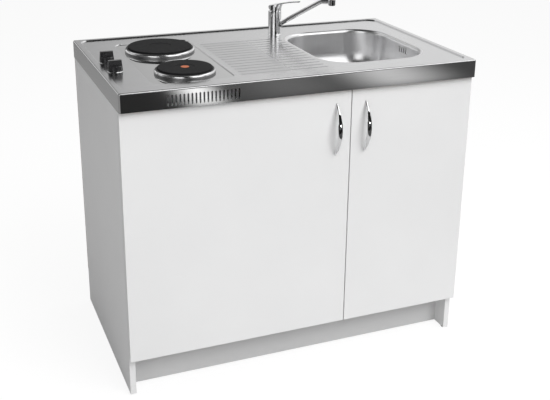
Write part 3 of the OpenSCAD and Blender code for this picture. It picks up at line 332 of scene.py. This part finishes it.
hardboard = Finish("brown_hardboard")
fibre = hardboard.speckle(260, 6, hardboard.place(size=(1, 1, 0.35)))
hardboard.give(Base_Color=hardboard.mix((0.2, 0.115, 0.06), (0.36, 0.235, 0.14), fibre),
               Roughness=0.72)
hardboard.relief(fibre, 0.0003, 0.6)
dress(hardboard, "back_panel")

chipboard = Finish("raw_chipboard")
chips = chipboard.flakes(420, chipboard.place(size=(0.4, 1, 1)))
chipboard.give(Base_Color=chipboard.mix((0.36, 0.29, 0.21), (0.6, 0.52, 0.42), chips),
               Roughness=0.85)
chipboard.relief(chips, 0.0003, 0.5)
dress(chipboard, "worktop_battens")

glide = Finish("black_plastic")
glide.give(Base_Color=glide.mix((0.014, 0.014, 0.015), (0.028, 0.028, 0.03), glide.speckle(300)),
           Roughness=0.3 + 0.2 * glide.speckle(700), Coat_Weight=0.2)
dress(glide, "panel_glides", "cable_gland")


# ---- Worktop ----
# One pressed sheet of stainless steel: the top has a fine rolled texture, duller where the ribs were
# pressed, and the apron, folded down from it, is brighter because it is polished along its length.
# The bowl is drawn from a sheet of its own, and the box round the hob is zinc-plated steel.
steel = Finish("worktop_steel")
fold = 0.0045
on_apron = steel.along("Z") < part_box("worktop")[1].z - fold
mottle = steel.speckle(30, 3)
polish_lines = steel.speckle(500, 3, steel.place(size=(0.02, 0.02, 1)))
rightwards = steel.along("X")
inwards = steel.along("Y")
# Where the duller field round the ribs starts and where it is full, on each of its sides.
field_right = (0.01, -0.06)
field_left = (-0.19, -0.15)
field_back = (0.18, 0.13)
field_front = (-0.25, -0.21)
pressed = (steel.spread(rightwards, *field_right) * steel.spread(rightwards, *field_left)
           * steel.spread(inwards, *field_back) * steel.spread(inwards, *field_front))
rolled_steel = steel.mix((0.58, 0.58, 0.585), (0.64, 0.64, 0.645), mottle)
top_steel = steel.mix(rolled_steel, (0.76, 0.76, 0.765), pressed)
top_roughness = 0.17 + 0.05 * mottle + 0.2 * pressed
apron_roughness = 0.05 + 0.03 * polish_lines
steel.give(Metallic=1.0, Base_Color=steel.mix(top_steel, (0.56, 0.56, 0.56), on_apron),
           Roughness=top_roughness * (1 - on_apron) + apron_roughness * on_apron)
steel.relief(steel.speckle(1600) * (1 - on_apron), 0.00001, 0.12)
dress(steel, "worktop")

bowl = Finish("bowl_steel")
drawn = bowl.speckle(90, 2, bowl.place(size=(1, 1, 0.1)))
bowl.give(Metallic=1.0, Base_Color=bowl.mix((0.75, 0.75, 0.755), (0.81, 0.81, 0.815), drawn),
          Roughness=0.27 + 0.06 * drawn)
bowl.relief(drawn, 0.00005, 0.3)
dress(bowl, "sink_bowl")

zinc = Finish("zinc_sheet")
spangle = zinc.flakes(90)
zinc.give(Metallic=0.9, Base_Color=zinc.mix((0.48, 0.49, 0.5), (0.66, 0.67, 0.69), spangle),
          Roughness=0.38 + 0.15 * spangle)
dress(zinc, "hob_cover_box", "plate_clamps")


# ---- Hotplates ----
# Cast iron discs, turned on a lathe, so fine rings run round each one. A bright steel ring is pressed
# round the rim. Next to the iron it is painted dark, a painted reflection, its skirt has painted shade
# and its foot a painted shadow; and the quick plate has a dot of red paint.
turning_marks = 2100
# Where the painted dark reflection next to the iron ends and is full, then where the painted shade of the
# skirt and the painted shadow at its foot start and are full.
dark_reflection_end = 0.0052
dark_reflection_full = 0.0042
skirt_start = 0.0045
skirt_full = 0.0085
foot_start = 0.0105
foot_full = 0.0135


def from_axle(finish, middle):
    flat = finish.node("VectorMath", {"operation": "MULTIPLY"}, {0: finish.place(middle), 1: (1, 1, 0)})
    return finish.node("VectorMath", {"operation": "LENGTH"}, {0: flat}, 1)


def hotplate(plate, ring):
    least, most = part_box(plate)
    middle = (least + most) / 2
    iron = Finish(plate)
    pores = iron.speckle(900, 4)
    turned_rings = (from_axle(iron, middle) * turning_marks).maths("SINE")
    iron.give(Base_Color=iron.mix((0.008, 0.008, 0.0085), (0.02, 0.02, 0.0205), pores),
              Roughness=0.56 + 0.1 * iron.speckle(60, 3), Specular_IOR_Level=0.05)
    iron.relief(turned_rings * 0.5 + pores * 0.4, 0.0002, 0.6)
    dress(iron, plate)

    iron_edge = (most.x - least.x) / 2
    ring_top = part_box(ring)[1].z
    rim = Finish(ring)
    # Painted dark reflection: next to the iron the ring's colour goes nearly black, and it is less
    # metallic and rougher there.
    painted_dark_reflection = rim.spread(from_axle(rim, middle), iron_edge + dark_reflection_end, iron_edge + dark_reflection_full)
    skirt = rim.spread(rim.along("Z"), ring_top - skirt_start, ring_top - skirt_full)
    foot = rim.spread(rim.along("Z"), ring_top - foot_start, ring_top - foot_full)
    polished = rim.mix((0.7, 0.7, 0.705), (0.8, 0.8, 0.805), rim.speckle(50))
    # Painted shade: the skirt's colour is darker below the rolled edge, and a painted shadow makes its
    # foot nearly black; the skirt is also rougher.
    painted_skirt_shade = rim.mix(polished, (0.26, 0.26, 0.262), skirt)
    painted_foot_shadow = rim.mix(painted_skirt_shade, (0.05, 0.05, 0.05), foot)
    rim.give(Metallic=1.0 - 0.6 * painted_dark_reflection, Base_Color=rim.mix(painted_foot_shadow, (0.03, 0.03, 0.031), painted_dark_reflection),
             Roughness=0.17 + 0.06 * rim.speckle(120, 3) + 0.3 * painted_dark_reflection + 0.22 * skirt)
    dress(rim, ring)


hotplate("large_hotplate", "large_plate_ring")
hotplate("small_hotplate", "small_plate_ring")

dot = Finish("red_dot")
dot.give(Base_Color=dot.mix((0.36, 0.085, 0.035), (0.5, 0.15, 0.06), dot.speckle(500, 4)),
         Roughness=0.55)
dot.relief(dot.speckle(1200), 0.0001, 0.5)
dress(dot, "red_dot")


# ---- Controls ----
# Two rotary switches in white plastic hang from the sheet, each with a brass spindle. The knobs are
# moulded in black plastic and pushed onto the spindles' flats, above chromed plastic bezels.
knob = Finish("knob_plastic")
knob.give(Base_Color=knob.mix((0.008, 0.008, 0.009), (0.02, 0.02, 0.021), knob.speckle(200)),
          Roughness=0.18 + 0.1 * knob.speckle(400, 3), Coat_Weight=0.3)
knob.relief(knob.speckle(1500), 0.00003, 0.4)
dress(knob, "rear_knob", "front_knob")

bezel = Finish("bezel_chrome")
bezel.give(Metallic=1.0, Base_Color=bezel.mix((0.6, 0.6, 0.605), (0.7, 0.7, 0.705), bezel.speckle(150)),
           Roughness=0.16 + 0.06 * bezel.speckle(400, 3))
dress(bezel, "knob_bezels")

moulded = Finish("white_plastic")
moulded.give(Base_Color=moulded.mix((0.8, 0.8, 0.78), (0.86, 0.86, 0.84), moulded.speckle(40)),
             Roughness=0.4 + 0.1 * moulded.speckle(300))
moulded.relief(moulded.speckle(900), 0.00005, 0.4)
dress(moulded, "rear_switch", "front_switch", "terminal_block")

brass = Finish("turned_brass")
brass.give(Metallic=1.0, Base_Color=brass.mix((0.62, 0.45, 0.2), (0.8, 0.62, 0.34), brass.speckle(120, 3)),
           Roughness=0.25 + 0.1 * brass.speckle(300, 3, brass.place(size=(1, 1, 8))))
dress(brass, "rear_spindle", "front_spindle")


# ---- Doors and fittings ----
# Each door is cut from the cabinet's board and hangs on two concealed hinges, whose nickel-plated
# cups are pressed into it. It shuts on two clear buffers, and the shelf lies on nickel-plated pins.
dress(melamine, "left_door", "right_door")

nickel = Finish("nickel_fittings")
nickel.give(Metallic=1.0,
            Base_Color=nickel.mix((0.6, 0.6, 0.6), (0.72, 0.72, 0.73), nickel.speckle(150, 3)),
            Roughness=0.22 + 0.12 * nickel.speckle(260, 3))
dress(nickel, "shelf_pins", "left_hinge_cups", "right_hinge_cups", "hinge_arms")

rubber = Finish("clear_rubber")
rubber.give(Base_Color=rubber.mix((0.6, 0.6, 0.58), (0.74, 0.74, 0.72), rubber.speckle(400)),
            Roughness=0.45)
dress(rubber, "left_door_buffers", "right_door_buffers")


# ---- Handles ----
# Bows of die-cast zinc, chromed and polished. Seen from the front each is a slim leaf, its face is
# crowned, and two screws hold it from inside the door.
dress(nickel, "left_handle_screws", "right_handle_screws")

chrome = Finish("handle_chrome")
chrome.give(Metallic=1.0,
            Base_Color=chrome.mix((0.8, 0.8, 0.81), (0.87, 0.87, 0.875), chrome.speckle(30)),
            Roughness=0.05 + 0.04 * chrome.speckle(200, 3))
bow_thick = 0.006
bow_crown = 0.0022
bow_half_tip = 0.0021
back_roundness = 0.45
into_door = 0.05


def bow_handle(name, body):
    least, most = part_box(name)
    middle = (least + most) / 2
    half_high = (most.z - least.z) / 2
    half_wide = (most.x - least.x) / 2
    bulge = most.y - least.y
    outer = (half_high ** 2 + bulge ** 2) / (2 * bulge)
    reach = asin(half_high / outer) + into_door

    shape = bmesh.new()
    section = bmesh.ops.create_circle(shape, segments=28, radius=1)["verts"]
    for vert in section:
        side, out = vert.co.x, vert.co.y
        if out > 0:
            depth = bow_crown * (1 - out)
        else:
            depth = bow_crown + (bow_thick - bow_crown) * abs(out) ** back_roundness
        vert.co = (side, depth - outer, 0)
    bmesh.ops.rotate(shape, verts=shape.verts, cent=(0, 0, 0), matrix=Matrix.Rotation(-reach, 3, "X"))
    bmesh.ops.spin(shape, geom=shape.edges[:], cent=(0, 0, 0), axis=(1, 0, 0), angle=2 * reach, steps=64)
    for vert in shape.verts:
        share = abs(atan2(vert.co.z, -vert.co.y)) / reach
        vert.co.x *= half_wide - (half_wide - bow_half_tip) * share ** 2
    bmesh.ops.translate(shape, verts=shape.verts, vec=(middle.x, least.y + outer, middle.z))

    bmesh.ops.bisect_plane(shape, geom=shape.verts[:] + shape.edges[:] + shape.faces[:], dist=1e-6,
                           plane_co=(0, most.y, 0), plane_no=(0, 1, 0), clear_outer=True)
    bmesh.ops.holes_fill(shape, edges=[edge for edge in shape.edges if edge.is_boundary], sides=0)
    bmesh.ops.recalc_face_normals(shape, faces=shape.faces)
    for face in shape.faces:
        is_foot = len(face.verts) > 5
        face.smooth = not is_foot
    data = bpy.data.meshes.new(name + "_bow")
    shape.to_mesh(data)
    data.materials.append(chrome.material)
    bow = bpy.data.objects.new(name + "_bow", data)
    bpy.context.scene.collection.objects.link(bow)
    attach(bow, body)
    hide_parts(name)


bow_handle("left_handle", "left_door")
bow_handle("right_handle", "right_door")


# ---- Waste and trap ----
# A polished strainer is drawn down onto a white plastic waste, and a bottle trap of the same
# plastic leads to the pipe. The trap's cup is grey, and the water comes up in copper tails.
strainer = Finish("strainer_steel")
strainer.give(Metallic=1.0,
              Base_Color=strainer.mix((0.68, 0.68, 0.685), (0.78, 0.78, 0.785), strainer.speckle(80)),
              Roughness=0.12 + 0.08 * strainer.speckle(260, 3))
dress(strainer, "waste_strainer")
dress(moulded, "waste_body", "overflow_pipe", "trap_body", "trap_nuts", "outlet_pipe")

cup = Finish("grey_plastic")
cup.give(Base_Color=cup.mix((0.5, 0.5, 0.5), (0.6, 0.6, 0.595), cup.speckle(60)), Roughness=0.42)
cup.relief(cup.speckle(900), 0.00005, 0.4)
dress(cup, "trap_cup")

copper = Finish("drawn_copper")
copper.give(Metallic=1.0,
            Base_Color=copper.mix((0.56, 0.28, 0.17), (0.78, 0.46, 0.32), copper.speckle(35, 4)),
            Roughness=0.24 + 0.14 * copper.speckle(160, 3))
dress(copper, "water_tails")


# ---- Tap ----
# A single-lever mixer in chromed brass: fixed foot, turning body with its spout, and a lever over
# a plastic cartridge with a nickel-plated stem. A brass nut holds it from below.
tap = Finish("tap_chrome")
tap.give(Metallic=1.0, Base_Color=tap.mix((0.82, 0.82, 0.83), (0.88, 0.88, 0.885), tap.speckle(25)),
         Roughness=0.05 + 0.03 * tap.speckle(180, 3))
dress(tap, "tap_base", "mixer_body", "spout", "tap_lever", "aerator")
dress(moulded, "cartridge")
dress(nickel, "lever_stem")
dress(brass, "tap_fixing")


low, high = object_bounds()
